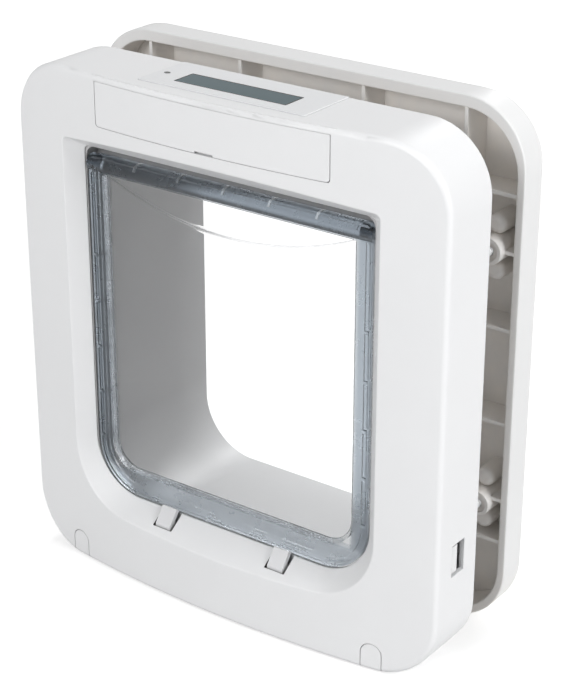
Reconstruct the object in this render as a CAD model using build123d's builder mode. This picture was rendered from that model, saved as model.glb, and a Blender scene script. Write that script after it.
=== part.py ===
# Cat flap for an interior door: interior unit, tunnel with a clear flap, exterior frame.
# Millimetres, +Z up, +Y from the room to the outside, origin under the middle of the whole.
import os
from math import sqrt
from build123d import *

os.makedirs("parts", exist_ok=True)

# Interior unit. Depths are counted back from the side edges of its bowed face.
frame_width = 262
front_height = 282
side_depth = 35
face_bow = 12
corner_radius = 34
edge_fillet = 3
wall = 2.5

# Space for the door leaf, exterior frame and tunnel behind it
door_gap = 30.5
rear_depth = 22
rear_rise = 2.5
tunnel_beyond = 12

# Flap and hinge
flap_margin = 43.5
head_height = 47.3
flap_bottom = 45
flap_corner = 28
flap_gap = 1
flap_thickness = 6.4
flap_front = 3.2
flap_round = 0.8
pane_thickness = 2.4
border_side = 9.1
border_bottom = 13.5
border_top = 8.7
pane_corner = 17
rim_wall = 1.6
groove_depth = 1
groove_width = 2.6
lip_slope = 2
bar_radius = 4.6
ring_rise = 0.5
ring_width = 1.4
ring_pitch = 28
ring_count = 5
ring_end = 9
ring_low = 1.8
tick_width = 1.4
tick_pitch = 26.2
tick_rows = 5
tick_start = 75.5
arch_sag = 17.5
arch_step = 0.25
pin_radius = 2
pin_in_flap = 8
pin_in_boss = 6.5
press_gap = 0.02
running_gap = 0.05

# Bevelled opening in the face
funnel_depth = 3
funnel_step = 0.5
funnel_round = 0.8
flare_side = 0.906
flare_bottom = 0.676
flare_top = 0.64
flare_corner = 0.55
funnel_corner = 30
funnel_top_corner = 3

# Tunnel and back plate
headroom = 4.9
floor_drop = 15.5
tunnel_corner = 33
tunnel_top_corner = 6
tunnel_lip_round = 0.8
threshold_depth = 2.5
plate_thickness = 3
plate_gap = 0.3
hinge_block = 13
lip_gap = 0.4
lip_thickness = 2.5
lip_above_hinge = 2.2

# Seams
seam = 0.35
seat_gap = 0.1

# Reach of cutting shapes past the surface they cut
overshoot = 2

# Battery door, cells and holder
battery_door_width = 141
battery_door_height = 23
battery_door_thickness = 2
battery_door_corner = 1.8
door_top_corner = 0.4
door_head_gap = 0.12
door_foot_gap = 0.25
ledge = 3
notch_width = 11
notch_height = 0.9
cell_radius = 7.25
cell_length = 50.5
nub_radius = 2.75
nub_length = 1.2
cell_gap = 0.3
contact_thickness = 0.8
contact_rise = 1.2
holder_wall = 1.9
first_row_depth = 2.8
leg_width = 3
leg_length = 12

# Display on the top face
display_x = 1.2
bezel_width = 100
bezel_front = -1.1
bezel_thickness = 1.6
bezel_rise = 0.5
bezel_corner = 1.2
bezel_round = 0.3
bezel_gap = 0.15
window_width = 67.8
window_front = 6.2
window_back = 21.6
window_thickness = 1.1
window_corner = 0.6
module_width = 72
module_margin = 2
module_thickness = 2.6
led_x = -43.4
led_depth = 15.1
led_length = 3.2
led_width = 2.9

# Boards
board_width = 184
board_thickness = 1.6
board_standoff = 3
board_hole_inset = 7
board_screw_radius = 1.2
board_head_radius = 2.4
board_head_height = 1.6
chip_width = 14
chip_height = 9
chip_thickness = 1.6
chip_pitch = 46
chip_count = 3
coil_section = 4
coil_gap = 0.4

# Latches
latch_x = 37
latch_width = 9.5
latch_base_depth = -6.1
latch_base_above = -5.6
latch_tip_depth = 0.3
latch_overlap = 3
latch_arm = 2.6
latch_stem = 5
latch_stem_bottom = 24
latch_round = 1
latch_slot_side = 1.4
latch_slot_front = 0.5
latch_travel = 6
plunger_radius = 2
plunger_bottom = 11.5
solenoid_width = 14
solenoid_depth = 8.2
stem_clear = 1
bore_clear = 0.5
pocket_wall = 1.5
pocket_height = 9

# Screw covers and case screws
cover_inset = 34.4
cover_width = 12
cover_height = 16
pad_margin = 2
case_screw_height = 8
pad_depth = 6.5
case_head_radius = 3.6
case_head_height = 2.4
case_head_seat = 4
case_shank_radius = 1.5
case_screw_length = 18
case_post_radius = 4

# Snap windows in the sides
snap_front = 12.3
snap_back = 23.5
snap_bottom = 58
snap_top = 75.7
tongue_in = 8
tongue_thickness = 2.5
tongue_margin = 1.4
hook_depth = 4.6
hook_recess = 0.8

# Exterior frame
rim = 4.5
rim_top = 6.5
rear_floor = 3
rear_round = 8
rim_round = 0.8
sleeve_gap = 0.5
sleeve_wall = 2.5
sleeve_inset = 1.5
boss_inset = 16.5
boss_up = 72
boss_down = 74.5
boss_radius = 7
boss_front = 3.5
boss_bore = 5
boss_bore_depth = 1.2
post_radius = 5.2
post_offset = 12
post_front = 3
post_round = 3
rib_thickness = 2
rib_inset = 1
rib_root = 0.5
ribs_from_bottom = (51, 75, 118)
ribs_from_top = (45.5, 74.9, 115.5)
end_rib_x = 38
corner_rib_inset = 34
fixing_radius = 2.5
fixing_end = 7.5
fixing_head_radius = 4.6
fixing_head_height = 3
fixing_hole_gap = 0.3

# Derived places
back = (0, 1, 0)
tunnel_end = side_depth + door_gap + rear_depth + tunnel_beyond
edge_y = face_bow - (face_bow + tunnel_end) / 2
half_width = frame_width / 2
bow_radius = (half_width ** 2 + face_bow ** 2) / (2 * face_bow)
bow_centre = edge_y - face_bow + bow_radius
plate_front = side_depth - plate_thickness
rear_front = side_depth + door_gap
rear_back = rear_front + rear_depth
rear_height = front_height + rear_rise
flap_top = front_height - head_height
hinge_z = flap_top - bar_radius
hinge_depth = flap_front + flap_thickness / 2
flap_half = half_width - flap_margin
flap_width = 2 * flap_half
opening_half = flap_half + flap_gap
opening_bottom = flap_bottom - flap_gap
opening_corner = flap_corner + flap_gap
opening_top = flap_top + headroom
tunnel_floor = flap_bottom - floor_drop
tunnel_front = funnel_depth + plate_gap
funnel_bottom = opening_bottom + funnel_step
funnel_half = opening_half + funnel_step
face_front = -face_bow - overshoot
battery_door_top = front_height - edge_fillet
battery_door_bottom = battery_door_top - battery_door_height
top_inside = front_height - wall


def push(sketch, amount):
    extrude(sketch, amount=amount, dir=back)


def cut(sketch, amount):
    extrude(sketch, amount=amount, dir=back, mode=Mode.SUBTRACT)


def depth_plane(depth):
    return Plane.XZ.offset(-(edge_y + depth))


def side_plane(x):
    return Plane.YZ.offset(x)


def face_y(x, inset):
    return bow_centre - sqrt((bow_radius - inset) ** 2 - x ** 2)


def panel(width, bottom, top, radius, depth):
    with BuildSketch(depth_plane(depth)) as sketch:
        with Locations((0, (bottom + top) / 2)):
            RectangleRounded(width, top - bottom, radius)
    return sketch.sketch


def plate(left, right, bottom, top, depth):
    with BuildSketch(depth_plane(depth)) as sketch:
        with Locations(((left + right) / 2, (bottom + top) / 2)):
            Rectangle(right - left, top - bottom)
    return sketch.sketch


def doorway(half, bottom, top, bottom_radius, top_radius, depth):
    with BuildSketch(depth_plane(depth)) as sketch:
        with Locations((0, (bottom + top) / 2)):
            Rectangle(2 * half, top - bottom)
        fillet(sketch.vertices().group_by(Axis.Y)[0], bottom_radius)
        fillet(sketch.vertices().group_by(Axis.Y)[-1], top_radius)
    return sketch.sketch


def disc(x, z, radius, depth):
    with BuildSketch(depth_plane(depth)) as sketch:
        with Locations((x, z)):
            Circle(radius)
    return sketch.sketch


def side_disc(x, depth, z, radius):
    with BuildSketch(side_plane(x)) as sketch:
        with Locations((edge_y + depth, z)):
            Circle(radius)
    return sketch.sketch


def level_disc(x, depth, radius, z):
    with BuildSketch(Plane.XY.offset(z)) as sketch:
        with Locations((x, edge_y + depth)):
            Circle(radius)
    return sketch.sketch


def level_plate(left, right, front, rear, z, radius=0):
    with BuildSketch(Plane.XY.offset(z)) as sketch:
        with Locations(((left + right) / 2, edge_y + (front + rear) / 2)):
            Rectangle(right - left, rear - front)
        if radius:
            fillet(sketch.vertices(), radius)
    return sketch.sketch


def arch(x, width, top, depth, grow):
    with BuildSketch(depth_plane(depth)) as sketch:
        radius = width / 2 + grow
        centre_z = top + grow - radius
        with Locations((x, centre_z)):
            Circle(radius)
        with Locations((x, (centre_z - overshoot) / 2)):
            Rectangle(2 * radius, centre_z + overshoot)
    return sketch.sketch


def funnel(depth, grow):
    flare = funnel_depth - depth
    return doorway(funnel_half + flare_side * flare + grow,
                   funnel_bottom - flare_bottom * flare - grow,
                   opening_top + flare_top * flare + grow,
                   funnel_corner + flare_corner * flare + grow,
                   funnel_top_corner + grow, depth)


def tunnel(grow, depth):
    return doorway(opening_half + grow, tunnel_floor - grow, opening_top + grow,
                   tunnel_corner + grow, tunnel_top_corner + grow, depth)


def bowed_block(inset):
    rim_y = face_y(half_width, inset)
    back_y = edge_y + side_depth
    with BuildPart() as block:
        with BuildSketch(Plane.XY.offset(-overshoot)):
            with BuildLine():
                ThreePointArc((-half_width, rim_y), (0, face_y(0, inset)), (half_width, rim_y))
                Polyline((half_width, rim_y), (half_width, back_y), (-half_width, back_y),
                         (-half_width, rim_y))
            make_face()
        extrude(amount=front_height + 2 * overshoot)
    return block.part


def door_prism(side, below, above, depth):
    return doorway(battery_door_width / 2 + side, battery_door_bottom - below, battery_door_top + above,
                   battery_door_corner, door_top_corner, depth)


# Outer body of the interior unit, shared by the cover and the pieces let into its face
with BuildPart() as face_body:
    push(panel(frame_width, 0, front_height, corner_radius, -face_bow), face_bow + side_depth)
    add(bowed_block(0), mode=Mode.INTERSECT)
    bowed_face = face_body.faces().filter_by(GeomType.CYLINDER).sort_by(SortBy.AREA)[-1]
    fillet(bowed_face.edges(), edge_fillet)

with BuildPart() as cavity:
    push(panel(frame_width - 2 * wall, wall, top_inside, corner_radius - wall, -face_bow),
         face_bow + side_depth)
    add(bowed_block(wall), mode=Mode.INTERSECT)

with BuildPart() as funnel_wall:
    loft([funnel(face_front, wall), funnel(funnel_depth, wall)], ruled=True)
    add(bowed_block(wall / 2), mode=Mode.INTERSECT)

with BuildPart() as door_ledge:
    push(door_prism(ledge, ledge, ledge, -face_bow), face_bow)
    add(bowed_block(wall / 2), mode=Mode.INTERSECT)
    add(bowed_block(battery_door_thickness + seat_gap + wall), mode=Mode.SUBTRACT)

with BuildPart() as door_recess:
    push(door_prism(seam, door_foot_gap, door_head_gap, face_front), face_bow)
    add(bowed_block(battery_door_thickness + seat_gap), mode=Mode.SUBTRACT)

cover_x = half_width - cover_inset
with BuildPart() as cover_recess:
    for x in (-cover_x, cover_x):
        push(arch(x, cover_width, cover_height, face_front, 0), -face_front)
    add(bowed_block(wall), mode=Mode.SUBTRACT)

slot_half = latch_width / 2 + latch_slot_side
slot_front = latch_base_depth - latch_slot_front
pocket_half = solenoid_width / 2 + seam
pad_half = cover_width / 2 + pad_margin
with BuildPart() as cover_ribs:
    for x in (-cover_x, cover_x):
        push(plate(x - pad_half, x + pad_half, wall / 2, cover_height + pad_margin, -face_bow),
             face_bow + pad_depth)
    for x in (-latch_x, latch_x):
        for edge in (x - pocket_half - pocket_wall, x + pocket_half):
            push(plate(edge, edge + pocket_wall, wall / 2, wall + pocket_height, -face_bow), face_bow)
    add(bowed_block(wall / 2), mode=Mode.INTERSECT)

bezel_bottom = front_height + bezel_rise - bezel_thickness
bezel_top = front_height + bezel_rise
window_left = display_x - window_width / 2
window_right = display_x + window_width / 2
module_left = display_x - module_width / 2
module_right = display_x + module_width / 2
module_front = window_front - module_margin
module_back = window_back + module_margin


def bezel_outline(grow, z, rear):
    with BuildSketch(Plane.XY.offset(z)) as sketch:
        with Locations((display_x, edge_y + (bezel_front - grow + rear) / 2)):
            Rectangle(bezel_width + 2 * grow, rear - bezel_front + grow)
        fillet(sketch.vertices().group_by(Axis.Y)[0], bezel_corner)
    return sketch.sketch


def led_outline(grow, z):
    with BuildSketch(Plane.XY.offset(z)) as sketch:
        with Locations((led_x, edge_y + led_depth)):
            Ellipse(led_length / 2 + grow, led_width / 2 + grow)
    return sketch.sketch


with BuildPart() as front_cover:
    add(face_body.part)
    add(cavity.part, mode=Mode.SUBTRACT)
    add(funnel_wall.part)
    add(door_ledge.part)
    add(cover_ribs.part)
    loft([funnel(face_front, 0), funnel(funnel_depth, 0)], ruled=True, mode=Mode.SUBTRACT)
    bowed_face = front_cover.faces().filter_by(GeomType.CYLINDER).sort_by(SortBy.AREA)[-1]
    fillet(bowed_face.inner_wires()[0].edges(), funnel_round)
    add(door_recess.part, mode=Mode.SUBTRACT)
    cut(door_prism(-ledge, -ledge, -ledge, face_front), -face_front)
    add(cover_recess.part, mode=Mode.SUBTRACT)
    for x in (-cover_x, cover_x):
        cut(disc(x, case_screw_height, case_head_radius + seam, face_front), case_head_seat - face_front)
        cut(disc(x, case_screw_height, case_shank_radius + seam, 0), pad_depth)
    for x in (-latch_x, latch_x):
        cut(plate(x - slot_half, x + slot_half, latch_stem_bottom, funnel_bottom + wall, slot_front),
            funnel_depth - slot_front)
    for x in (-half_width - wall, half_width - 2 * wall):
        with BuildSketch(side_plane(x)):
            with Locations((edge_y + (snap_front + snap_back) / 2, (snap_bottom + snap_top) / 2)):
                Rectangle(snap_back - snap_front, snap_top - snap_bottom)
        extrude(amount=3 * wall, mode=Mode.SUBTRACT)
    extrude(bezel_outline(bezel_gap, bezel_bottom, side_depth), amount=wall, mode=Mode.SUBTRACT)
    extrude(level_plate(module_left - seam, module_right + seam, module_front - seam, module_back + seam,
                        top_inside), amount=wall, mode=Mode.SUBTRACT)
    extrude(led_outline(seat_gap, top_inside), amount=wall, mode=Mode.SUBTRACT)
front_cover.part.label = "front_cover"
export_step(front_cover.part, "parts/front_cover.step")

with BuildPart() as battery_door:
    push(door_prism(0, 0, 0, face_front), -face_front)
    add(bowed_block(0), mode=Mode.INTERSECT)
    add(bowed_block(battery_door_thickness), mode=Mode.SUBTRACT)
    cut(plate(-notch_width / 2, notch_width / 2, battery_door_bottom - seam,
              battery_door_bottom + notch_height, face_front), face_bow)
battery_door.part.label = "battery_door"
export_step(battery_door.part, "parts/battery_door.step")

for side, x in (("left", -cover_x), ("right", cover_x)):
    with BuildPart() as screw_cover:
        push(arch(x, cover_width, cover_height, face_front, -seam), -face_front)
        add(face_body.part, mode=Mode.INTERSECT)
        add(bowed_block(wall - seat_gap), mode=Mode.SUBTRACT)
    screw_cover.part.label = f"screw_cover_{side}"
    export_step(screw_cover.part, f"parts/screw_cover_{side}.step")

with BuildPart() as case_screws:
    for x in (-cover_x, cover_x):
        push(disc(x, case_screw_height, case_head_radius, case_head_seat - case_head_height),
             case_head_height)
        push(disc(x, case_screw_height, case_shank_radius, case_head_seat), case_screw_length)
case_screws.part.label = "case_screws"
export_step(case_screws.part, "parts/case_screws.step")

# Display
with BuildPart() as display_bezel:
    extrude(bezel_outline(0, bezel_bottom, side_depth), amount=bezel_thickness)
    fillet(display_bezel.faces().sort_by(Axis.Z)[-1].edges(), bezel_round)
    extrude(level_plate(window_left, window_right, window_front, window_back, bezel_bottom,
                        window_corner), amount=bezel_thickness, mode=Mode.SUBTRACT)
    extrude(led_outline(seat_gap, bezel_bottom), amount=bezel_thickness, mode=Mode.SUBTRACT)
display_bezel.part.label = "display_bezel"
export_step(display_bezel.part, "parts/display_bezel.step")

window_top = bezel_top - seat_gap
with BuildPart() as display_window:
    extrude(level_plate(window_left + seat_gap, window_right - seat_gap, window_front + seat_gap,
                        window_back - seat_gap, window_top - window_thickness, window_corner),
                        amount=window_thickness)
display_window.part.label = "display_window"
export_step(display_window.part, "parts/display_window.step")

with BuildPart() as display_module:
    extrude(level_plate(module_left, module_right, module_front, module_back,
                        bezel_bottom - module_thickness), amount=module_thickness)
display_module.part.label = "display_module"
export_step(display_module.part, "parts/display_module.step")

with BuildPart() as status_led:
    extrude(led_outline(0, top_inside), amount=bezel_top + seat_gap - top_inside)
status_led.part.label = "status_led"
export_step(status_led.part, "parts/status_led.step")

# Main board, fixed to posts on the back plate
board_back = plate_front - board_standoff
board_front = board_back - board_thickness
board_bottom = opening_top + wall + coil_gap + coil_section + holder_wall
board_top = top_inside - holder_wall
board_holes = [(x, z) for x in (board_hole_inset - board_width / 2, board_width / 2 - board_hole_inset)
               for z in (board_bottom + board_hole_inset, board_top - board_hole_inset)]
with BuildPart() as main_board:
    push(plate(-board_width / 2, board_width / 2, board_bottom, board_top, board_front), board_thickness)
    for x, z in board_holes:
        cut(disc(x, z, board_screw_radius + seat_gap, board_front), board_thickness)
main_board.part.label = "main_board"
export_step(main_board.part, "parts/main_board.step")

with BuildPart() as board_parts:
    with Locations(depth_plane(board_back)):
        with Locations((0, (board_bottom + board_top) / 2, -chip_thickness / 2)):
            with GridLocations(chip_pitch, 1, chip_count, 1):
                Box(chip_width, chip_height, chip_thickness)
board_parts.part.label = "board_parts"
export_step(board_parts.part, "parts/board_parts.step")

with BuildPart() as board_screws:
    for x, z in board_holes:
        push(disc(x, z, board_head_radius, board_front - board_head_height), board_head_height)
        push(disc(x, z, board_screw_radius, board_front), board_thickness + board_standoff)
board_screws.part.label = "board_screws"
export_step(board_screws.part, "parts/board_screws.step")

# Two rows of two cells in an open-fronted holder standing on the tunnel roof
roof = opening_top + wall
holder_floor = battery_door_bottom + holder_wall / 2
cell_z = holder_floor + cell_gap + cell_radius
second_row_depth = first_row_depth + 2 * cell_radius + cell_gap
holder_front = first_row_depth - cell_radius
holder_back = second_row_depth + cell_radius + cell_gap
contact_room = contact_thickness + contact_rise + cell_gap
holder_half = cell_length + contact_room
with BuildPart() as battery_holder:
    push(plate(-holder_half - holder_wall, holder_half + holder_wall, holder_floor - holder_wall,
               cell_z + cell_radius, holder_front), holder_back + holder_wall - holder_front)
    cut(plate(-holder_half, holder_half, holder_floor, cell_z + 2 * cell_radius, holder_front),
        holder_back - holder_front)
    for x in (-cell_length, cell_length):
        push(plate(x - leg_width / 2, x + leg_width / 2, roof, holder_floor,
                   first_row_depth + cell_radius), leg_length)
battery_holder.part.label = "battery_holder"
export_step(battery_holder.part, "parts/battery_holder.step")

cell_places = [(-cell_length, first_row_depth, 1), (0, first_row_depth, 1),
               (-cell_length, second_row_depth, -1), (0, second_row_depth, -1)]
for number, (start, depth, way) in enumerate(cell_places, 1):
    body_start = start if way > 0 else start + nub_length
    nub_start = start + cell_length - nub_length if way > 0 else start
    with BuildPart() as battery_cell:
        extrude(side_disc(body_start, depth, cell_z, cell_radius), amount=cell_length - nub_length)
        extrude(side_disc(nub_start, depth, cell_z, nub_radius), amount=nub_length)
    battery_cell.part.label = f"battery_cell_{number}"
    export_step(battery_cell.part, f"parts/battery_cell_{number}.step")

# The left contact bridges both rows, the right one has a plate for each row
contact_half = cell_radius - holder_wall
for side, way in (("left", -1), ("right", 1)):
    inner = way * (cell_length + cell_gap / 2)
    with BuildPart() as battery_contact:
        for depth in (first_row_depth, second_row_depth):
            extrude(side_disc(inner, depth, cell_z, nub_radius), amount=way * contact_rise)
            with BuildSketch(side_plane(inner + way * contact_rise)):
                with Locations((edge_y + depth, cell_z)):
                    Rectangle(2 * contact_half, 2 * contact_half)
                if side == "left":
                    with Locations((edge_y + (first_row_depth + second_row_depth) / 2, cell_z)):
                        Rectangle(second_row_depth - first_row_depth, contact_half)
            extrude(amount=way * contact_thickness)
    battery_contact.part.label = f"battery_contact_{side}"
    export_step(battery_contact.part, f"parts/battery_contact_{side}.step")

# Back plate with the tunnel, its sill and the hinge blocks
boss_x = half_width - boss_inset
boss_places = [(x, z) for x in (-boss_x, boss_x) for z in (boss_up, rear_height - boss_down)]
hinge_outer = opening_half + pin_in_boss + wall
tongue_depth = snap_front + tongue_margin
tongue_outer = half_width - tongue_in
lip_front = hinge_depth + bar_radius + ring_rise + lip_gap
with BuildPart() as chassis:
    push(panel(frame_width - 2 * (wall + plate_gap), wall + plate_gap, top_inside - plate_gap,
               corner_radius - wall - plate_gap, plate_front), plate_thickness)
    push(tunnel(wall, tunnel_front), tunnel_end - tunnel_front)
    push(plate(-hinge_outer, hinge_outer, hinge_z - hinge_block / 2, hinge_z + hinge_block / 2,
               tunnel_front), 2 * hinge_depth - tunnel_front)
    for x, z in board_holes:
        push(disc(x, z, board_head_radius, board_back), board_standoff)
    for x in (-cover_x, cover_x):
        push(disc(x, case_screw_height, case_post_radius, pad_depth + seam), plate_front - pad_depth - seam)
    for way in (-1, 1):
        tongue = sorted((way * tongue_outer, way * (tongue_outer - tongue_thickness)))
        hook = sorted((way * tongue_outer, way * (half_width - hook_recess)))
        push(plate(tongue[0], tongue[1], snap_bottom + tongue_margin, snap_top - tongue_margin,
                   tongue_depth), plate_front - tongue_depth)
        push(plate(hook[0], hook[1], snap_bottom + tongue_margin, snap_top - tongue_margin, tongue_depth),
             hook_depth)
    cut(doorway(opening_half, opening_bottom, opening_top, opening_corner, tunnel_top_corner,
                tunnel_front), threshold_depth)
    cut(tunnel(0, tunnel_front + threshold_depth), tunnel_end)
    fillet(chassis.faces().sort_by(Axis.Y)[-1].edges(), tunnel_lip_round)
    push(plate(-opening_half - wall / 2, opening_half + wall / 2, hinge_z + lip_above_hinge,
               opening_top + wall / 2, lip_front), lip_thickness)
    extrude(side_disc(-opening_half - pin_in_boss, hinge_depth, hinge_z, pin_radius + running_gap),
            amount=2 * (opening_half + pin_in_boss), mode=Mode.SUBTRACT)
    for x, z in board_holes:
        cut(disc(x, z, board_screw_radius + running_gap, board_back), board_standoff)
    for x in (-cover_x, cover_x):
        cut(disc(x, case_screw_height, case_shank_radius + running_gap, pad_depth), case_screw_length)
    for x, z in boss_places:
        cut(disc(x, z, fixing_radius + fixing_hole_gap, plate_front), plate_thickness)
chassis.part.label = "chassis"
export_step(chassis.part, "parts/chassis.step")

coil_front = plate_front - coil_gap - coil_section
with BuildPart() as antenna_coil:
    push(tunnel(wall + coil_gap + coil_section, coil_front), coil_section)
    cut(tunnel(wall + coil_gap, coil_front), coil_section)
antenna_coil.part.label = "antenna_coil"
export_step(antenna_coil.part, "parts/antenna_coil.step")

# Clear flap, the same in front and behind so that it hangs straight
pane_half = flap_half - border_side
pane_bottom = flap_bottom + border_bottom
pane_top = flap_top - border_top
pane_recess = (flap_thickness - pane_thickness) / 2
flap_back = flap_front + flap_thickness
tick_heights = [tick_start + row * tick_pitch for row in range(tick_rows)]
ring_places = [(number - (ring_count - 1) / 2) * ring_pitch for number in range(ring_count)]
ring_places += [ring_end - flap_half, flap_half - ring_end]
groove_outer_corner = flap_corner - rim_wall
groove_inner = rim_wall + groove_width
groove_inner_corner = flap_corner - groove_inner
with BuildPart() as flap:
    push(doorway(flap_half, flap_bottom, flap_top, flap_corner, bar_radius, flap_front), flap_thickness)
    broad_faces = flap.faces().sort_by(Axis.Y)
    fillet(broad_faces[0].edges() + broad_faces[-1].edges(), flap_round)
    for face, groove, floor in ((flap_front, flap_front, flap_front + pane_recess),
                                (flap_back, flap_back - groove_depth, flap_back - pane_recess)):
        with BuildSketch(depth_plane(groove)):
            add(doorway(flap_half - rim_wall, flap_bottom + rim_wall, pane_top,
                        groove_outer_corner, rim_wall, groove))
            add(doorway(flap_half - groove_inner, flap_bottom + groove_inner, flap_top,
                        groove_inner_corner, rim_wall, groove), mode=Mode.SUBTRACT)
            for z in tick_heights:
                with Locations((0, z)):
                    Rectangle(flap_width, tick_width, mode=Mode.SUBTRACT)
        extrude(amount=groove_depth, dir=back, mode=Mode.SUBTRACT)
        loft([doorway(pane_half, pane_bottom, pane_top, pane_corner, rim_wall, face),
              doorway(pane_half - lip_slope, pane_bottom + lip_slope, pane_top, pane_corner - lip_slope,
                      rim_wall, floor)], ruled=True, mode=Mode.SUBTRACT)
    with BuildSketch(depth_plane(flap_front + pane_recess - arch_step)):
        with BuildLine():
            ThreePointArc((-pane_half, pane_top), (0, pane_top - arch_sag), (pane_half, pane_top))
            Line((-pane_half, pane_top), (pane_half, pane_top))
        make_face()
    extrude(amount=pane_thickness + 2 * arch_step, dir=back)
    extrude(side_disc(-flap_half, hinge_depth, hinge_z, bar_radius), amount=flap_width)
    for x in ring_places:
        with BuildSketch(side_plane(x - ring_width / 2)):
            with Locations((edge_y + hinge_depth, hinge_z)):
                Circle(bar_radius + ring_rise)
            with Locations((edge_y + hinge_depth, hinge_z + ring_low + bar_radius)):
                Rectangle(4 * bar_radius, 2 * bar_radius, mode=Mode.INTERSECT)
        extrude(amount=ring_width)
    for x in (-flap_half, flap_half - pin_in_flap):
        extrude(side_disc(x, hinge_depth, hinge_z, pin_radius + press_gap), amount=pin_in_flap,
                mode=Mode.SUBTRACT)
flap.part.label = "flap"
export_step(flap.part, "parts/flap.step")

pin_length = pin_in_flap + flap_gap + pin_in_boss - 2 * press_gap
for side, x in (("left", -flap_half + pin_in_flap - press_gap - pin_length),
                ("right", flap_half - pin_in_flap + press_gap)):
    with BuildPart() as hinge_pin:
        extrude(side_disc(x, hinge_depth, hinge_z, pin_radius), amount=pin_length)
    hinge_pin.part.label = f"hinge_pin_{side}"
    export_step(hinge_pin.part, f"parts/hinge_pin_{side}.step")

# Latches in the sill, drawn down by solenoids in the foot of the cover
stem_depth = latch_base_depth + latch_stem / 2
solenoid_top = latch_stem_bottom - latch_travel - stem_clear
bore_floor = plunger_bottom - latch_travel - bore_clear
knee_z = flap_bottom + latch_base_above
tip_z = flap_bottom + latch_overlap
rise = (tip_z - knee_z) / (latch_tip_depth - latch_base_depth)
slant = sqrt(1 + rise ** 2)
heel_depth = latch_tip_depth + latch_arm * rise / slant
heel_z = tip_z - latch_arm / slant
stem_back = latch_base_depth + latch_stem
under_z = heel_z - rise * (heel_depth - stem_back)
latch_profile = [(latch_base_depth, latch_stem_bottom), (latch_base_depth, knee_z), (latch_tip_depth, tip_z),
                 (heel_depth, heel_z), (stem_back, under_z), (stem_back, latch_stem_bottom)]
for side, x in (("left", -latch_x), ("right", latch_x)):
    with BuildPart() as latch:
        with BuildSketch(side_plane(x - latch_width / 2)):
            with BuildLine():
                Polyline([(edge_y + depth, z) for depth, z in latch_profile], close=True)
            make_face()
        extrude(amount=latch_width)
        fillet(latch.edges().filter_by(Axis.X).sort_by(Axis.Z)[-2:], latch_round)
    latch.part.label = f"latch_{side}"
    export_step(latch.part, f"parts/latch_{side}.step")

    with BuildPart() as latch_plunger:
        extrude(level_disc(x, stem_depth, plunger_radius, plunger_bottom),
                amount=latch_stem_bottom - plunger_bottom)
    latch_plunger.part.label = f"latch_plunger_{side}"
    export_step(latch_plunger.part, f"parts/latch_plunger_{side}.step")

    with BuildPart() as lock_solenoid:
        extrude(level_plate(x - solenoid_width / 2, x + solenoid_width / 2,
                            stem_depth - solenoid_depth / 2, stem_depth + solenoid_depth / 2, wall),
                            amount=solenoid_top - wall)
        extrude(level_disc(x, stem_depth, plunger_radius + running_gap, bore_floor),
                amount=solenoid_top - bore_floor, mode=Mode.SUBTRACT)
    lock_solenoid.part.label = f"lock_solenoid_{side}"
    export_step(lock_solenoid.part, f"parts/lock_solenoid_{side}.step")

# Exterior frame: a ribbed tray with a sleeve round the tunnel and four boss clusters
sleeve_grow = wall + sleeve_gap + sleeve_wall
floor_front = rear_back - rear_floor
rib_front = rear_front + rib_inset
rib_depth = floor_front - rib_front + rib_root
rib_start = opening_half + sleeve_grow - sleeve_wall / 2
rib_reach = half_width - rim + rib_root
with BuildPart() as post_body:
    for x, z in boss_places:
        for offset in (-post_offset, post_offset):
            push(disc(x, z + offset, post_radius, rear_front + post_front),
                 rear_depth - post_front - rear_floor / 2)
    fillet(post_body.faces().filter_by(Axis.Y).group_by(Axis.Y)[0].edges(), post_round)

with BuildPart() as exterior_frame:
    push(panel(frame_width, 0, rear_height, corner_radius, rear_front), rear_depth)
    fillet(exterior_frame.faces().sort_by(Axis.Y)[-1].edges(), rear_round)
    cut(panel(frame_width - 2 * rim, rim, rear_height - rim_top, corner_radius - rim, rear_front),
        rear_depth - rear_floor)
    fillet(exterior_frame.faces().sort_by(Axis.Y)[0].edges(), rim_round)
    push(tunnel(sleeve_grow, rear_front + sleeve_inset), rear_depth - sleeve_inset)
    for z in (*ribs_from_bottom, *(rear_height - down for down in ribs_from_top)):
        for way in (-1, 1):
            ends = sorted((way * rib_start, way * rib_reach))
            push(plate(ends[0], ends[1], z - rib_thickness / 2, z + rib_thickness / 2, rib_front), rib_depth)
    for x in (end_rib_x, half_width - corner_rib_inset):
        for place in (-x, x):
            for low, high in ((rim - rib_root, tunnel_floor - wall),
                              (roof, rear_height - rim_top + rib_root)):
                push(plate(place - rib_thickness / 2, place + rib_thickness / 2, low, high, rib_front),
                     rib_depth)
    add(post_body.part)
    for x, z in boss_places:
        push(disc(x, z, boss_radius, rear_front - boss_front), rear_depth + boss_front - rear_floor / 2)
    cut(tunnel(wall + sleeve_gap, rear_front), rear_depth)
    for x, z in boss_places:
        cut(disc(x, z, boss_bore, rear_front - boss_front), boss_bore_depth)
        cut(disc(x, z, fixing_radius + running_gap, rear_front - boss_front),
            boss_front + rear_depth - rear_floor - rib_inset)
exterior_frame.part.label = "exterior_frame"
export_step(exterior_frame.part, "parts/exterior_frame.step")

with BuildPart() as fixing_screws:
    for x, z in boss_places:
        push(disc(x, z, fixing_head_radius, plate_front - fixing_head_height), fixing_head_height)
        push(disc(x, z, fixing_radius, plate_front), rear_back - fixing_end - plate_front)
fixing_screws.part.label = "fixing_screws"
export_step(fixing_screws.part, "parts/fixing_screws.step")
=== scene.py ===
import math

import bmesh
import bpy
from mathutils import Matrix, Vector


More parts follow.
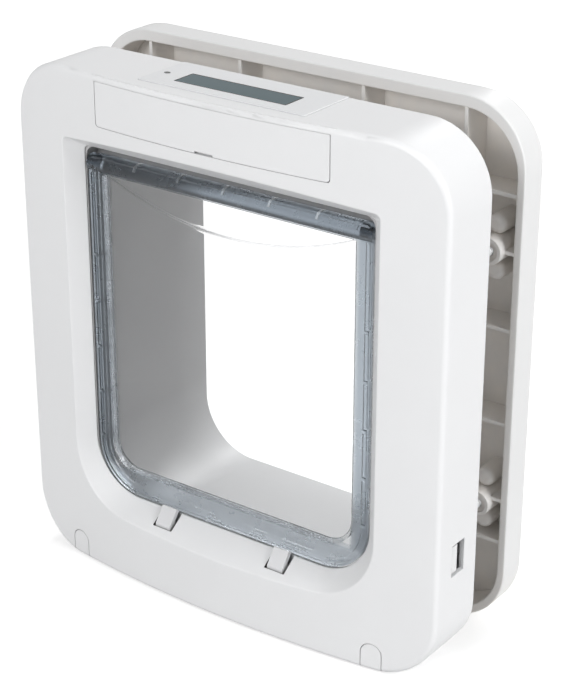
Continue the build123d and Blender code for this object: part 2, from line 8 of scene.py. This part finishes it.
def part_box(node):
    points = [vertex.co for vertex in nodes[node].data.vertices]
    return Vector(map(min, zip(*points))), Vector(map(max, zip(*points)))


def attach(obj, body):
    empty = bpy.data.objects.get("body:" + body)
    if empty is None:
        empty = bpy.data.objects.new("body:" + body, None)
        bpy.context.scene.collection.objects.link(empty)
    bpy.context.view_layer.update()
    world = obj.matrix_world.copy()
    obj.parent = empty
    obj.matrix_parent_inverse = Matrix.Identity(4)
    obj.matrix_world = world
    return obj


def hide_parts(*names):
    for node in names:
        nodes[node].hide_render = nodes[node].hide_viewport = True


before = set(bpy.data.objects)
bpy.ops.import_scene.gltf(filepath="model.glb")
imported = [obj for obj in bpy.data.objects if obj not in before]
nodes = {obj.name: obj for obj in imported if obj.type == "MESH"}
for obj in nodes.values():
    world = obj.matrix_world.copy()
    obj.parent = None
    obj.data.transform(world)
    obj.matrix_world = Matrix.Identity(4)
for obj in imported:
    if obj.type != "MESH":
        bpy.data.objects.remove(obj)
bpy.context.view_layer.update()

scene = bpy.context.scene
scene.view_settings.view_transform = "Standard"
print("cat flap: frame loaded,", len(nodes), "nodes")


def addNode(tree, kind, **settings):
    node = tree.nodes.new(kind)
    for key, value in settings.items():
        setattr(node, key, value)
    return node


def plug(tree, socket, source):
    if isinstance(source, bpy.types.NodeSocket):
        tree.links.new(source, socket)
    else:
        socket.default_value = source


def feed(tree, node, **links):
    # socket names are written with _ for a space
    for key, source in links.items():
        plug(tree, node.inputs[key.replace("_", " ")], source)
    return node


def remap(tree, source, low, high, toLow, toHigh):
    node = addNode(tree, "ShaderNodeMapRange")
    feed(tree, node, Value=source, From_Min=low, From_Max=high, To_Min=toLow, To_Max=toHigh)
    return node.outputs["Result"]


def sums(tree, operation, *values):
    node = addNode(tree, "ShaderNodeMath", operation=operation)
    for socket, value in zip(node.inputs, values):
        plug(tree, socket, value)
    return node.outputs[0]


def product(tree, *values):
    total = values[0]
    for value in values[1:]:
        total = sums(tree, "MULTIPLY", total, value)
    return total


def blendColour(tree, amount, first, second):
    node = addNode(tree, "ShaderNodeMix", data_type="RGBA")
    for number, value in ((0, amount), (6, first), (7, second)):
        plug(tree, node.inputs[number], value)
    return node.outputs[2]


def objectSpot(tree):
    return addNode(tree, "ShaderNodeTexCoord").outputs["Object"]


def splitSpot(tree, spot):
    return feed(tree, addNode(tree, "ShaderNodeSeparateXYZ"), Vector=spot).outputs


noiseSpan = (0.3, 0.7)  # most of a noise lies between these


def noise(tree, spot, scale, detail, roughness=0.5):
    node = addNode(tree, "ShaderNodeTexNoise")
    feed(tree, node, Vector=spot, Scale=scale, Detail=detail, Roughness=roughness)
    return node.outputs["Fac"]


def relief(tree, height, strength, depth, **over):
    node = addNode(tree, "ShaderNodeBump")
    feed(tree, node, Height=height, Strength=strength, Distance=depth, **over)
    return node.outputs["Normal"]


def newGroup(name, inputs, outputs):
    group = bpy.data.node_groups.new(name, "ShaderNodeTree")
    for label, kind, value in inputs:
        socket = group.interface.new_socket(label, in_out="INPUT", socket_type="NodeSocket" + kind)
        socket.default_value = value
    for label, kind in outputs:
        group.interface.new_socket(label, in_out="OUTPUT", socket_type="NodeSocket" + kind)
    return group, group.nodes.new("NodeGroupInput").outputs, group.nodes.new("NodeGroupOutput")


def useGroup(tree, group, **links):
    node = addNode(tree, "ShaderNodeGroup", node_tree=group)
    return feed(tree, node, **links).outputs


# moulded plastic: slow tone patches, spark-eroded grain and uneven gloss
grainLook = {"patchScale": 14.0, "smearScale": 55.0}
mouldedGrain, given, out = newGroup(
    "mouldedGrain",
    [("Tone", "Color", (0.8, 0.8, 0.8, 1)), ("Shift", "Float", 0.02), ("Grain", "Float", 1800.0),
     ("Rough", "Float", 0.4), ("Rough Shift", "Float", 0.06)],
    [("Color", "Color"), ("Roughness", "Float"), ("Height", "Float")])
spot = objectSpot(mouldedGrain)
patch = noise(mouldedGrain, spot, grainLook["patchScale"], 3.0)
speck = noise(mouldedGrain, spot, given["Grain"], 3.0, 0.6)
smear = noise(mouldedGrain, spot, grainLook["smearScale"], 5.0)
swing = product(mouldedGrain, remap(mouldedGrain, patch, *noiseSpan, -1.0, 1.0), given["Shift"])
tinted = addNode(mouldedGrain, "ShaderNodeVectorMath", operation="SCALE")
feed(mouldedGrain, tinted, Vector=given["Tone"], Scale=sums(mouldedGrain, "ADD", swing, 1.0))
gloss = product(mouldedGrain, remap(mouldedGrain, smear, *noiseSpan, -1.0, 1.0), given["Rough Shift"])
feed(mouldedGrain, out, Color=tinted.outputs["Vector"], Height=speck,
     Roughness=sums(mouldedGrain, "ADD", gloss, given["Rough"]))

# soft edges: a rounded normal, and a mask of the edge itself, used for rubbed wear and for a painted edge
# highlight
edgeLook = {"samples": 6, "rubAndHighlightBand": (0.99, 0.85)}
softEdge, given, out = newGroup(
    "softEdge", [("Radius", "Float", 0.0005)], [("Normal", "Vector"), ("Rub", "Float")])
bevel = addNode(softEdge, "ShaderNodeBevel", samples=edgeLook["samples"])
rounded = feed(softEdge, bevel, Radius=given["Radius"]).outputs["Normal"]
flat = addNode(softEdge, "ShaderNodeNewGeometry").outputs["Normal"]
likeness = addNode(softEdge, "ShaderNodeVectorMath", operation="DOT_PRODUCT")
for number, normal in enumerate((rounded, flat)):
    plug(softEdge, likeness.inputs[number], normal)
feed(softEdge, out, Normal=rounded,
     Rub=remap(softEdge, likeness.outputs["Value"], *edgeLook["rubAndHighlightBand"], 0.0, 1.0))

# a second tone in seams, slots and pockets, found by occlusion: real dust on the black parts, painted shade
# on the white and grey parts, painted light in the rear frame's pockets
hollowLook = {"samples": 6, "driftScale": 120.0, "hollow": (0.75, 0.2), "broken": (0.7, 1.0)}
seamDust, given, out = newGroup(
    "seamDust",
    [("Color", "Color", (0.8, 0.8, 0.8, 1)), ("Dust", "Color", (0.3, 0.3, 0.3, 1)), ("Reach", "Float", 0.004),
     ("Amount", "Float", 0.5)],
    [("Color", "Color")])
shade = addNode(seamDust, "ShaderNodeAmbientOcclusion", samples=hollowLook["samples"])
hollow = feed(seamDust, shade, Distance=given["Reach"]).outputs["AO"]
drift = noise(seamDust, objectSpot(seamDust), hollowLook["driftScale"], 4.0)
inHollows = product(seamDust, remap(seamDust, hollow, *hollowLook["hollow"], 0.0, 1.0),
                  remap(seamDust, drift, *noiseSpan, *hollowLook["broken"]), given["Amount"])
feed(seamDust, out, Color=blendColour(seamDust, inHollows, given["Color"], given["Dust"]))


def newMaterial(name):
    material = bpy.data.materials.new(name)
    material.use_nodes = True
    tree = material.node_tree
    return material, tree, tree.nodes["Principled BSDF"]


def grainOf(tree, look, tone):
    return useGroup(tree, mouldedGrain, Tone=tone, Shift=look["shift"], Grain=look["grain"],
                    Rough=look["rough"], Rough_Shift=look["roughShift"])


plasticLook = {"grainDepth": 0.0001, "ior": 1.53}


def mouldedPlastic(name, look):
    material, tree, shader = newMaterial(name)
    tone = (*look["tone"], 1)
    if "otherTone" in look:
        place = splitSpot(tree, objectSpot(tree))
        tone = blendColour(tree, look["otherPlace"](tree, place), tone, (*look["otherTone"], 1))
    grain = grainOf(tree, look, tone)
    edge = useGroup(tree, softEdge, Radius=look["edge"])
    # edges blend toward a paler tone: a painted edge highlight on the white and grey parts, rubbed wear on
    # the black parts
    worn = blendColour(tree, product(tree, edge["Rub"], look["rubAndHighlight"]), grain["Color"], (*look["rubAndHighlightTone"], 1))
    hollowTinted = useGroup(tree, seamDust, Color=worn, Dust=(*look["hollowTone"], 1), Reach=look["hollowReach"],
                     Amount=look["hollowAmount"])
    bumpy = relief(tree, grain["Height"], look["bump"], plasticLook["grainDepth"], Normal=edge["Normal"])
    feed(tree, shader, Base_Color=hollowTinted["Color"], Roughness=grain["Roughness"], Normal=bumpy,
         IOR=plasticLook["ior"])
    return material


def dress(names, material):
    for name in names:
        nodes[name].data.materials.clear()
        nodes[name].data.materials.append(material)


latchSlots = {"middle": 0.037, "half": 0.0063, "top": 0.0435, "front": -0.0505}


def inLatchSlots(tree, place):
    aside = sums(tree, "SUBTRACT", sums(tree, "ABSOLUTE", place["X"]), latchSlots["middle"])
    return product(tree, sums(tree, "LESS_THAN", sums(tree, "ABSOLUTE", aside), latchSlots["half"]),
                   sums(tree, "LESS_THAN", place["Z"], latchSlots["top"]),
                   sums(tree, "GREATER_THAN", place["Y"], latchSlots["front"]))


tunnelShadeParts = {"wall": (0.093, 0.096), "floor": (0.075, 0.034), "floorLightAmount": 0.6}


def unshadedChassis(tree, place):
    # white outside the tunnel, and paler low on its floor as painted light; the grey elsewhere inside is
    # painted shade
    outside = remap(tree, sums(tree, "ABSOLUTE", place["X"]), *tunnelShadeParts["wall"], 0.0, 1.0)
    litFloor = remap(tree, place["Z"], *tunnelShadeParts["floor"], 0.0, tunnelShadeParts["floorLightAmount"])
    return sums(tree, "MAXIMUM", outside, litFloor)


# painted shade: on the white shells the hollow tone darkens seams, slots and gaps toward near-black, broken
# up by noise
shellLook = {
    "tone": (0.845, 0.85, 0.86), "shift": 0.012, "grain": 2200.0, "rough": 0.42, "roughShift": 0.05,
    "edge": 0.0006, "rubAndHighlight": 0.25, "rubAndHighlightTone": (0.93, 0.93, 0.93), "bump": 0.12,
    "hollowTone": (0.06, 0.06, 0.065), "hollowReach": 0.007, "hollowAmount": 0.22,
}
# painted shade: the cover is near-black inside the latch slots
coverSlotShadeLook = dict(shellLook, otherTone=(0.02, 0.02, 0.021), otherPlace=inLatchSlots)
dress(["front_cover"], mouldedPlastic("whiteShell", coverSlotShadeLook))
dress(["screw_cover_left", "screw_cover_right"], mouldedPlastic("screwCoverShell", shellLook))

doorLook = dict(shellLook, tone=(0.85, 0.855, 0.865), rough=0.4)
dress(["battery_door"], mouldedPlastic("batteryDoorShell", doorLook))

# painted highlight: the bezel's outline is painted bright
bezelLook = dict(shellLook, tone=(0.785, 0.795, 0.81), grain=3000.0, rough=0.36, edge=0.0005, rubAndHighlight=0.9,
                 rubAndHighlightTone=(0.96, 0.96, 0.96))
dress(["display_bezel"], mouldedPlastic("bezelShell", bezelLook))

# painted shade: inside the tunnel the walls and roof are a mid grey and its corners darken; its floor is
# painted paler as painted light
tunnelShadeLook = dict(shellLook, tone=(0.43, 0.43, 0.435), rough=0.5, hollowReach=0.008, hollowAmount=0.5,
                  otherTone=(0.84, 0.845, 0.85), otherPlace=unshadedChassis)
dress(["chassis"], mouldedPlastic("tunnelPaintedShade", tunnelShadeLook))

# painted light: deep pockets blend toward a warm pale tone, as bounce light would make them
rearLook = dict(shellLook, tone=(0.81, 0.813, 0.815), hollowTone=(0.97, 0.92, 0.86), hollowReach=0.06, hollowAmount=0.9)
dress(["exterior_frame"], mouldedPlastic("exteriorShell", rearLook))

# painted shade: the hollow tone darkens the latches' crevices toward dark grey
latchLook = {
    "tone": (0.74, 0.745, 0.76), "shift": 0.03, "grain": 2600.0, "rough": 0.38, "roughShift": 0.07,
    "edge": 0.0004, "rubAndHighlight": 0.4, "rubAndHighlightTone": (0.86, 0.86, 0.86), "bump": 0.1,
    "hollowTone": (0.2, 0.2, 0.2), "hollowReach": 0.002, "hollowAmount": 0.5,
}
dress(["latch_left", "latch_right"], mouldedPlastic("latchGrey", latchLook))

holderLook = {
    "tone": (0.022, 0.022, 0.024), "shift": 0.12, "grain": 1500.0, "rough": 0.5, "roughShift": 0.08,
    "edge": 0.0004, "rubAndHighlight": 0.35, "rubAndHighlightTone": (0.07, 0.07, 0.07), "bump": 0.25,
    "hollowTone": (0.12, 0.11, 0.1), "hollowReach": 0.003, "hollowAmount": 0.3,
}
dress(["battery_holder"], mouldedPlastic("holderBlack", holderLook))

chipLook = dict(holderLook, tone=(0.016, 0.016, 0.017), grain=4000.0, rough=0.55, edge=0.0002)
dress(["board_parts", "display_module"], mouldedPlastic("chipBlack", chipLook))
print("cat flap: moulded plastics done")

flapLook = {
    "tint": (0.985, 0.99, 0.995), "borderTint": (0.36, 0.405, 0.45), "footTint": (0.62, 0.67, 0.72),
    "barShadeTint": (0.22, 0.255, 0.295), "shine": (0.5, 0.5, 0.5), "ior": 1.49, "edge": 0.0003,
    "hazeScale": 70.0, "haze": (0.35, 0.7), "paneRough": (0.01, 0.03), "borderRough": (0.24, 0.36),
    "ridgeRough": (0.3, 0.3), "ridgeBump": 0.3, "ridgeHeight": 0.0006,
    "paneHalf": 0.0764, "paneLow": 0.0605, "paneHigh": 0.2255, "lip": 0.0016,
    "ridgeRadius": 0.1844, "ridgeCentre": 0.3929, "ridgeHalf": 0.0016,
    "tickHighlightTint": (0.88, 0.91, 0.93), "tickPitch": 0.028, "tickHalf": 0.0008, "tickReach": 0.065,
    "tickLow": 0.2317,
}


def clearPlastic(name, look):
    material, tree, shader = newMaterial(name)
    spot = objectSpot(tree)
    place = splitSpot(tree, spot)
    aside = sums(tree, "ABSOLUTE", place["X"])
    side = remap(tree, aside, look["paneHalf"], look["paneHalf"] + look["lip"], 0.0, 1.0)
    foot = remap(tree, place["Z"], look["paneLow"], look["paneLow"] - look["lip"], 0.0, 1.0)
    head = remap(tree, place["Z"], look["paneHigh"], look["paneHigh"] + look["lip"], 0.0, 1.0)
    border = sums(tree, "MAXIMUM", sums(tree, "MAXIMUM", side, foot), head)
    # the rolled ridge that crosses the pane in a shallow arc
    rise = sums(tree, "SUBTRACT", place["Z"], look["ridgeCentre"])
    reach = sums(tree, "SQRT", sums(tree, "ADD", product(tree, aside, aside), product(tree, rise, rise)))
    off = sums(tree, "ABSOLUTE", sums(tree, "SUBTRACT", reach, look["ridgeRadius"]))
    ridge = addNode(tree, "ShaderNodeMapRange", interpolation_type="SMOOTHSTEP")
    feed(tree, ridge, Value=off, From_Min=look["ridgeHalf"], From_Max=0.0)
    onPane = product(tree, ridge.outputs["Result"], sums(tree, "SUBTRACT", 1.0, border))
    haze = noise(tree, spot, look["hazeScale"], 5.0, 0.65)
    rough = remap(tree, haze, *look["haze"], *look["paneRough"])
    for mask, span in ((border, look["borderRough"]), (onPane, look["ridgeRough"])):
        mix = addNode(tree, "ShaderNodeMix")
        for number, source in ((0, mask), (2, rough), (3, remap(tree, haze, *look["haze"], *span))):
            plug(tree, mix.inputs[number], source)
        rough = mix.outputs[0]
    tint = blendColour(tree, border, (*look["tint"], 1), (*look["borderTint"], 1))
    tint = blendColour(tree, foot, tint, (*look["footTint"], 1))
    # painted shade: the hinge bar is tinted dark
    tint = blendColour(tree, head, tint, (*look["barShadeTint"], 1))
    # pale ticks on top of the hinge bar: painted highlights on its ring ribs
    nearest = sums(tree, "WRAP", place["X"], look["tickPitch"] / 2, -look["tickPitch"] / 2)
    tick = product(tree, sums(tree, "LESS_THAN", sums(tree, "ABSOLUTE", nearest), look["tickHalf"]),
                   sums(tree, "LESS_THAN", aside, look["tickReach"]),
                   sums(tree, "GREATER_THAN", place["Z"], look["tickLow"]))
    soft = useGroup(tree, softEdge, Radius=look["edge"])
    rolled = relief(tree, onPane, look["ridgeBump"], look["ridgeHeight"], Normal=soft["Normal"])
    feed(tree, shader, Base_Color=blendColour(tree, tick, tint, (*look["tickHighlightTint"], 1)), Roughness=rough,
         Normal=rolled, Transmission_Weight=1.0, Specular_Tint=(*look["shine"], 1), IOR=look["ior"])
    return material


dress(["flap"], clearPlastic("clearFlap", flapLook))


def centredSpot(tree, low, high):
    shift = addNode(tree, "ShaderNodeMapping")
    feed(tree, shift, Vector=objectSpot(tree), Location=[-(a + b) / 2 for a, b in zip(low, high)])
    return shift.outputs["Vector"]


windowLook = {
    "glass": (0.03, 0.075, 0.09), "mask": (0.004, 0.008, 0.01), "maskWidth": 0.0011, "maskFade": 0.0003,
    "shift": 0.12, "grain": 900.0, "rough": 0.08, "roughShift": 0.02, "specular": 0.12,
}
low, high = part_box("display_window")
material, tree, shader = newMaterial("windowDark")
place = splitSpot(tree, centredSpot(tree, low, high))
edges = []
for axis in (0, 1):
    clear = (high[axis] - low[axis]) / 2 - windowLook["maskWidth"]
    aside = sums(tree, "ABSOLUTE", place[axis])
    edges.append(remap(tree, aside, clear, clear + windowLook["maskFade"], 0.0, 1.0))
grain = grainOf(tree, windowLook, (*windowLook["glass"], 1))
feed(tree, shader, Roughness=grain["Roughness"], Specular_IOR_Level=windowLook["specular"],
     Base_Color=blendColour(tree, sums(tree, "MAXIMUM", *edges), grain["Color"], (*windowLook["mask"], 1)))
dress(["display_window"], material)

ledLook = {"tone": (0.02, 0.022, 0.025), "shift": 0.2, "grain": 2500.0, "rough": 0.25, "roughShift": 0.04}
material, tree, shader = newMaterial("ledLens")
grain = grainOf(tree, ledLook, (*ledLook["tone"], 1))
feed(tree, shader, Base_Color=grain["Color"], Roughness=grain["Roughness"])
dress(["status_led"], material)

metalLook = {
    "shift": 0.08, "grain": 1400.0, "roughShift": 0.08, "edge": 0.0003, "bump": 0.15, "streakDepth": 0.0001,
}


def plainMetal(name, look):
    material, tree, shader = newMaterial(name)
    turn = feed(tree, addNode(tree, "ShaderNodeMapping"), Scale=look["stretch"], Vector=objectSpot(tree))
    brushed = noise(tree, turn.outputs["Vector"], look["streak"], 5.0, 0.65)
    grain = grainOf(tree, look, (*look["tone"], 1))
    edge = useGroup(tree, softEdge, Radius=look["edge"])
    streaked = relief(tree, brushed, look["bump"], look["streakDepth"], Normal=edge["Normal"])
    feed(tree, shader, Base_Color=grain["Color"], Roughness=grain["Roughness"], Normal=streaked, Metallic=1.0)
    return material


zincLook = dict(metalLook, tone=(0.6, 0.61, 0.62), rough=0.3, streak=600.0, stretch=(1, 0.1, 1))
zincSteel = plainMetal("zincSteel", zincLook)
dress(["case_screws", "board_screws", "fixing_screws", "hinge_pin_left", "hinge_pin_right",
       "latch_plunger_left", "latch_plunger_right"], zincSteel)

# long fixing screws: rolled thread, pan head and cross recess, built along +Y and set in place four times
screwLook = {
    "headRadius": 0.0046, "headHeight": 0.003, "headRound": 0.0018, "headSides": 32, "roundSteps": 5,
    "crest": 0.0025, "root": 0.0019, "pitch": 0.0018, "stepsPerTurn": 20, "sharpAngle": 35,
    "slotHalf": 0.0005, "slotReach": 0.0024, "slotDepth": 0.0014, "slotTaper": 0.75,
}
# thread outline over one pitch: radius and part of the pitch
threadOutline = (("root", 0.0), ("root", 0.1), ("crest", 0.45), ("crest", 0.6), ("root", 0.95), ("root", 1.0))
hair = 1e-6  # closer than this is the same place


def vertsOf(geom):
    return [part for part in geom if isinstance(part, bmesh.types.BMVert)]


def fixingScrew(work, look, length):
    shank = length - look["headHeight"]
    turns = math.ceil(shank / look["pitch"]) + 2
    verts = [work.verts.new((look[radius], (part - 1) * look["pitch"], 0)) for radius, part in threadOutline]
    edges = [work.edges.new(pair) for pair in zip(verts, verts[1:])]
    steps = look["stepsPerTurn"]
    bmesh.ops.spin(work, geom=verts + edges, cent=(0, 0, 0), axis=(0, 1, 0), angle=2 * math.pi * turns,
                   steps=steps * turns, dvec=(0, look["pitch"] / steps, 0))
    bmesh.ops.remove_doubles(work, verts=work.verts, dist=hair)
    for level, inner in ((0.0, True), (shank, False)):
        everything = work.verts[:] + work.edges[:] + work.faces[:]
        cut = bmesh.ops.bisect_plane(work, geom=everything, plane_co=(0, level, 0), plane_no=(0, 1, 0),
                                     clear_inner=inner, clear_outer=not inner)
        rim = [part for part in cut["geom_cut"] if isinstance(part, bmesh.types.BMEdge)]
        bmesh.ops.edgeloop_fill(work, edges=rim)
    # pan head
    upright = Matrix.Translation((0, -look["headHeight"] / 2, 0)) @ Matrix.Rotation(math.pi / 2, 4, "X")
    head = bmesh.ops.create_cone(work, cap_ends=True, segments=look["headSides"], matrix=upright,
                                 radius1=look["headRadius"], radius2=look["headRadius"],
                                 depth=look["headHeight"])
    rim = {edge for vert in head["verts"] for edge in vert.link_edges
           if all(abs(end.co.y + look["headHeight"]) < hair for end in edge.verts)}
    bmesh.ops.bevel(work, geom=list(rim), offset=look["headRound"], segments=look["roundSteps"], profile=0.5,
                    affect="EDGES", material=-1)
    # cross recess
    half, reach = look["slotHalf"], look["slotReach"]

    def crown():
        return [face for face in work.faces if face.normal.y < -0.99
                and abs(face.calc_center_median().y + look["headHeight"]) < hair]

    work.normal_update()
    for across in ((1, 0, 0), (0, 0, 1)):
        for place in (-reach, -half, half, reach):
            top = crown()
            geom = list({part for face in top for part in (face, *face.edges, *face.verts)})
            bmesh.ops.bisect_plane(work, geom=geom, plane_co=Vector(across) * place, plane_no=across)
            work.normal_update()
    cross = []
    for face in crown():
        x, z = (abs(value) for value in face.calc_center_median().xz)
        if (x < half and z < reach) or (z < half and x < reach):
            cross.append(face)
    sunk = bmesh.ops.extrude_face_region(work, geom=cross)["geom"]
    floor = vertsOf(sunk)
    bmesh.ops.translate(work, verts=floor, vec=(0, look["slotDepth"], 0))
    bmesh.ops.scale(work, verts=floor, vec=(look["slotTaper"], 1, look["slotTaper"]))
    bmesh.ops.delete(work, geom=cross, context="FACES")


low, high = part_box("fixing_screws")
work = bmesh.new()
fixingScrew(work, screwLook, high[1] - low[1])
single = work.verts[:] + work.edges[:] + work.faces[:]
inset = screwLook["headRadius"]
places = [(x, low[1] + screwLook["headHeight"], z) for x in (low[0] + inset, high[0] - inset)
          for z in (low[2] + inset, high[2] - inset)]
for place in places[1:]:
    copy = bmesh.ops.duplicate(work, geom=single)["geom"]
    bmesh.ops.translate(work, verts=vertsOf(copy), vec=Vector(place))
bmesh.ops.translate(work, verts=vertsOf(single), vec=Vector(places[0]))
bmesh.ops.recalc_face_normals(work, faces=work.faces)
mesh = bpy.data.meshes.new("fixingScrews")
work.to_mesh(mesh)
work.free()
mesh.materials.append(zincSteel)
mesh.shade_smooth()
mesh.set_sharp_from_angle(angle=math.radians(screwLook["sharpAngle"]))
fixingScrews = bpy.data.objects.new("fixingScrews", mesh)
scene.collection.objects.link(fixingScrews)
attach(fixingScrews, "case")
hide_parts("fixing_screws")
print("cat flap: fixing screws done,", len(mesh.polygons), "faces")

contactLook = dict(metalLook, tone=(0.72, 0.68, 0.6), rough=0.22, streak=900.0, stretch=(1, 1, 0.1))
contactNickel = plainMetal("contactNickel", contactLook)
dress(["battery_contact_left", "battery_contact_right"], contactNickel)

solenoidLook = dict(metalLook, tone=(0.5, 0.49, 0.46), rough=0.38, streak=500.0, stretch=(0.1, 1, 1))
solenoidFrame = plainMetal("solenoidFrame", solenoidLook)
dress(["lock_solenoid_left", "lock_solenoid_right"], solenoidFrame)
print("cat flap: clear plastic and metals done")

boardLook = {
    "mask": (0.012, 0.075, 0.03), "trace": (0.03, 0.14, 0.06), "cells": 160.0, "fold": 0.18,
    "line": (0.1, 0.13), "fleck": 400.0, "rough": (0.25, 0.42), "bump": 0.4, "copperDepth": 0.00005,
}
material, tree, shader = newMaterial("boardGreen")
spot = objectSpot(tree)
flatSpot = feed(tree, addNode(tree, "ShaderNodeMapping"), Vector=spot, Scale=(1, 0, 1))
cells = feed(tree, addNode(tree, "ShaderNodeTexVoronoi", feature="F1", distance="MANHATTAN"),
             Scale=boardLook["cells"], Vector=flatSpot.outputs["Vector"])
lines = sums(tree, "PINGPONG", cells.outputs["Distance"], boardLook["fold"])
trace = remap(tree, lines, *boardLook["line"], 0.0, 1.0)
fleck = noise(tree, spot, boardLook["fleck"], 4.0)
feed(tree, shader, Base_Color=blendColour(tree, trace, (*boardLook["mask"], 1), (*boardLook["trace"], 1)),
     Roughness=remap(tree, fleck, *noiseSpan, *boardLook["rough"]),
     Normal=relief(tree, trace, boardLook["bump"], boardLook["copperDepth"]))
dress(["main_board"], material)

coilLook = {
    "copper": (0.42, 0.13, 0.05), "gap": (0.1, 0.03, 0.015), "turns": 2600.0, "stray": 0.4,
    "rough": (0.5, 0.28), "bump": 0.6, "wireDepth": 0.0002, "metallic": 0.7,
}
material, tree, shader = newMaterial("coilWinding")
wave = addNode(tree, "ShaderNodeTexWave", bands_direction="Y")
strand = feed(tree, wave, Scale=coilLook["turns"] / math.tau, Distortion=coilLook["stray"], Detail=2.0,
              Vector=objectSpot(tree)).outputs["Fac"]
feed(tree, shader, Base_Color=blendColour(tree, strand, (*coilLook["gap"], 1), (*coilLook["copper"], 1)),
     Roughness=remap(tree, strand, 0.0, 1.0, *coilLook["rough"]), Metallic=coilLook["metallic"],
     Normal=relief(tree, strand, coilLook["bump"], coilLook["wireDepth"]))
dress(["antenna_coil"], material)

cellLook = {
    "wrap": (0.03, 0.035, 0.04), "band": (0.55, 0.3, 0.1), "can": (0.7, 0.7, 0.7), "bandPart": 0.3,
    "bandFade": 0.01, "ends": (0.93, 0.935), "wear": 300.0, "rough": (0.22, 0.36),
}


def cellWrap(name):
    low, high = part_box(name)
    material, tree, shader = newMaterial("cellWrap." + name[-1])
    spot = centredSpot(tree, low, high)
    along = sums(tree, "DIVIDE", splitSpot(tree, spot)["X"], (high[0] - low[0]) / 2)
    bandStart = 1 - 2 * cellLook["bandPart"]
    band = remap(tree, along, bandStart, bandStart + cellLook["bandFade"], 0.0, 1.0)
    ends = remap(tree, sums(tree, "ABSOLUTE", along), *cellLook["ends"], 0.0, 1.0)
    worn = noise(tree, spot, cellLook["wear"], 4.0)
    printed = blendColour(tree, band, (*cellLook["wrap"], 1), (*cellLook["band"], 1))
    feed(tree, shader, Base_Color=blendColour(tree, ends, printed, (*cellLook["can"], 1)), Metallic=ends,
         Roughness=remap(tree, worn, *noiseSpan, *cellLook["rough"]))
    return material


for number in range(1, 5):
    dress([f"battery_cell_{number}"], cellWrap(f"battery_cell_{number}"))
print("cat flap: board, coil and cells done")


# the white of floor and world is only for camera, mirror and see-through rays that have met nothing dull
def seenDirectly(tree):
    ray = addNode(tree, "ShaderNodeLightPath").outputs
    seen = sums(tree, "MAXIMUM", sums(tree, "MAXIMUM", ray["Is Camera Ray"], ray["Is Glossy Ray"]),
                ray["Is Transmission Ray"])
    return product(tree, seen, sums(tree, "LESS_THAN", ray["Diffuse Depth"], 0.5))


floorLook = {
    "half": 4.0, "pale": (0.62, 0.62, 0.62), "rough": 0.9, "lift": 0.56, "near": 0.45, "far": 1.5,
    "patch": (0.58, 0.58, 0.58), "patchAmount": 0.02, "patchScale": 3.0,
}
mesh = bpy.data.meshes.new("studioFloor")
work = bmesh.new()
bmesh.ops.create_grid(work, x_segments=1, y_segments=1, size=floorLook["half"])
work.to_mesh(mesh)
work.free()
floor = bpy.data.objects.new("studioFloor", mesh)
scene.collection.objects.link(floor)
material, tree, shader = newMaterial("studioFloorPale")
spot = objectSpot(tree)
paper = noise(tree, spot, floorLook["patchScale"], 3.0)
patch = remap(tree, paper, *noiseSpan, 0.0, floorLook["patchAmount"])
# away from the object, where the lamps fall off, the lift alone is white
away = addNode(tree, "ShaderNodeVectorMath", operation="LENGTH")
tree.links.new(spot, away.inputs[0])
lift = remap(tree, away.outputs["Value"], floorLook["near"], floorLook["far"], floorLook["lift"], 1.0)
feed(tree, shader, Base_Color=blendColour(tree, patch, (*floorLook["pale"], 1), (*floorLook["patch"], 1)),
     Roughness=floorLook["rough"], Emission_Color=(1, 1, 1, 1),
     Emission_Strength=product(tree, seenDirectly(tree), lift))
mesh.materials.append(material)

worldLook = {"soft": 0.32}
world = bpy.data.worlds.new("studioWorld")
scene.world = world
world.use_nodes = True
tree = world.node_tree
feed(tree, tree.nodes["Background"], Color=(1, 1, 1, 1),
     Strength=remap(tree, seenDirectly(tree), 0.0, 1.0, worldLook["soft"], 1.0))

midHeight = (0, 0, 0.14)
lampLook = {
    "sideSoft": {"at": (1.9, -0.1, 1.25), "aim": midHeight, "size": 1.0, "spread": 180.0, "watts": 26.5},
    "frontSoft": {"at": (0.05, -1.75, 0.98), "aim": midHeight, "size": 0.7, "spread": 180.0, "watts": 16.0},
    "backSoft": {"at": (0.3, 1.5, 1.2), "aim": midHeight, "size": 1.5, "spread": 180.0, "watts": 4.0},
    "tunnelSoft": {"at": (-0.3, 1.4, 0.85), "aim": (0, 0, -0.04), "size": 0.3, "spread": 22.0, "watts": 0.3},
}
for name, look in lampLook.items():
    lamp = bpy.data.lights.new(name, "AREA")
    lamp.shape = "DISK"
    lamp.size = look["size"]
    lamp.spread = math.radians(look["spread"])
    lamp.energy = look["watts"]
    holder = bpy.data.objects.new(name, lamp)
    scene.collection.objects.link(holder)
    holder.location = look["at"]
    holder.rotation_euler = (Vector(look["aim"]) - Vector(look["at"])).to_track_quat("-Z", "Y").to_euler()

cameraLook = {
    "eye": (0.5473, -0.7394, 0.5554), "azimuth": 36.19, "elevation": 24.49, "lens": 101.1, "sensor": 36.0,
}
lens = bpy.data.cameras.new("photoCamera")
lens.sensor_width = cameraLook["sensor"]
lens.lens = cameraLook["lens"]
camera = bpy.data.objects.new("photoCamera", lens)
scene.collection.objects.link(camera)
camera.location = cameraLook["eye"]
camera.rotation_euler = (math.radians(90 - cameraLook["elevation"]), 0, math.radians(cameraLook["azimuth"]))
scene.camera = camera
print("cat flap: floor, light and camera done")
